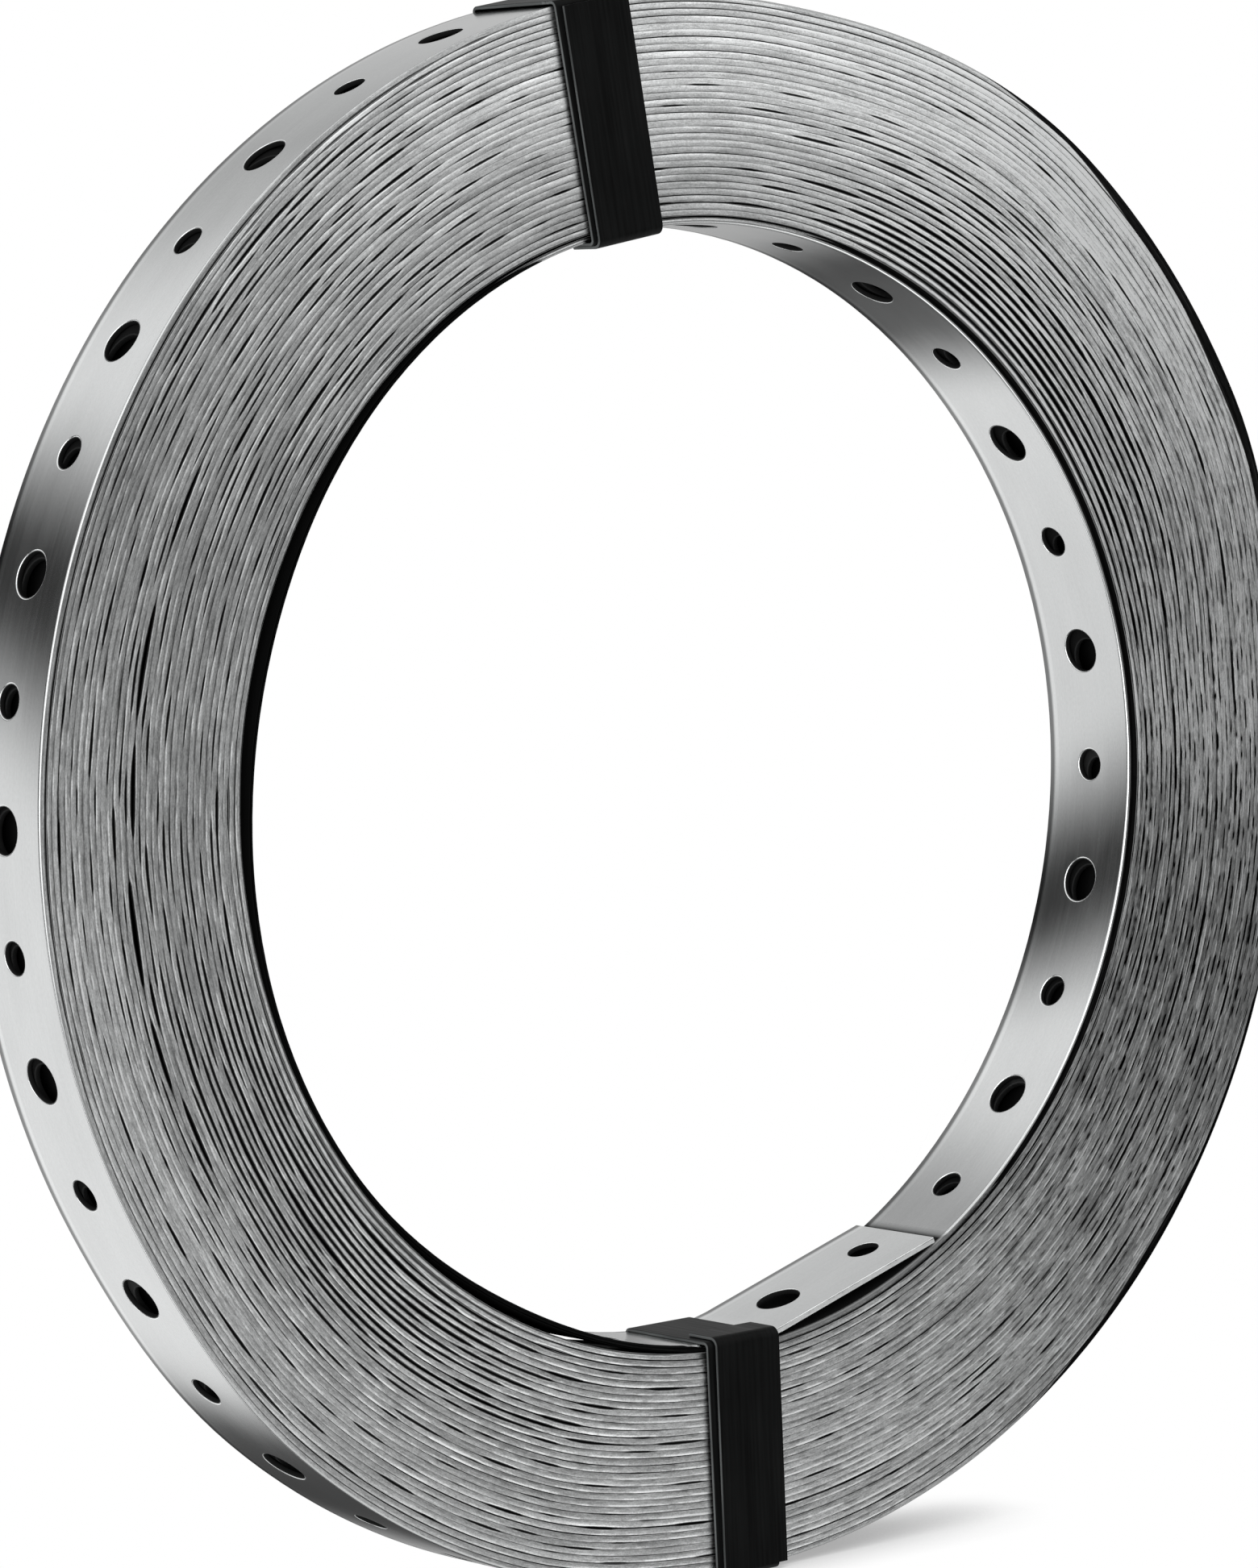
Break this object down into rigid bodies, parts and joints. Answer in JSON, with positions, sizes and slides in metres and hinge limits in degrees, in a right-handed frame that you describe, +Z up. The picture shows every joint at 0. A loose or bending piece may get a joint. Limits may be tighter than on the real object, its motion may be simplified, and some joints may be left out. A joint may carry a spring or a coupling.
{
  "type": "roll of perforated metal strap",
  "caption": "Roll of zinc-plated perforated steel strap standing on its rim, with alternating large and small holes, a free inner end and black packing bands.",
  "frame": {"origin": "middle of the flat foot, the lower packing band's outer face under the roll", "axes": "+Y along the roll's axis, from its front to its back, +X to the right seen from the front, +Z up"},
  "size_m": [0.2552, 0.0226, 0.2567],
  "materials": {
    "zinc_plated_steel": "satin",
    "black_band": "satin"
  },
  "bodies": {
    "root": {"perforated_strap_coil": "zinc_plated_steel", "upper_band": "black_band", "lower_band": "black_band"}
  },
  "joints": []
}
